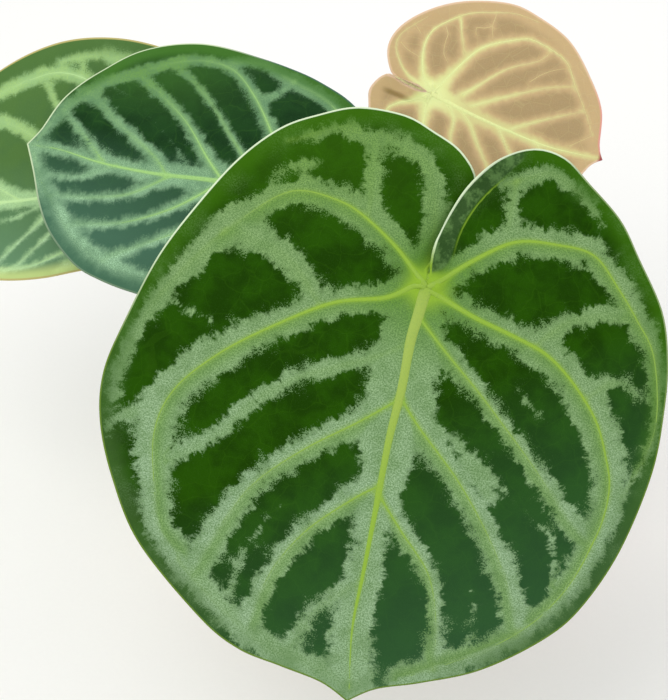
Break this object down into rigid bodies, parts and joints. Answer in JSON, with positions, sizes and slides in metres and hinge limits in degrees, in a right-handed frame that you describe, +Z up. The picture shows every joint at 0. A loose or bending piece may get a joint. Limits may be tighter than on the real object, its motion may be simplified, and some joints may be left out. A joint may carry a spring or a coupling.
{
  "type": "potted foliage plant",
  "caption": "Potted houseplant with velvety heart-shaped blades on slender stalks, pale ribs on dark green, standing in a plain tapered clay pot.",
  "frame": {"origin": "centre of the pot's flat base", "axes": "+Z up out of the pot; -Y towards the viewer, where the large front leaf hangs; +X to the viewer's right"},
  "size_m": [0.3101, 0.2904, 0.2784],
  "materials": {
    "leaf_green": "velvety dark green with pale silver-green vein bands",
    "leaf_far": "velvety grey-green with pale vein bands",
    "leaf_young": "soft tan with cream veins",
    "stalk": "satin yellow-green plant stalk",
    "crown": "rough, ringed with leaf scars",
    "potting_mix": "loose dark potting mix",
    "clay": "matt unglazed clay"
  },
  "bodies": {
    "root": {"blade_large": "leaf_green", "blade_left": "leaf_green", "blade_far_left": "leaf_far", "blade_young": "leaf_young", "petiole_large": "stalk", "petiole_left": "stalk", "petiole_far_left": "stalk", "petiole_young": "stalk", "crown": "crown", "soil": "potting_mix", "pot": "clay"}
  },
  "joints": []
}
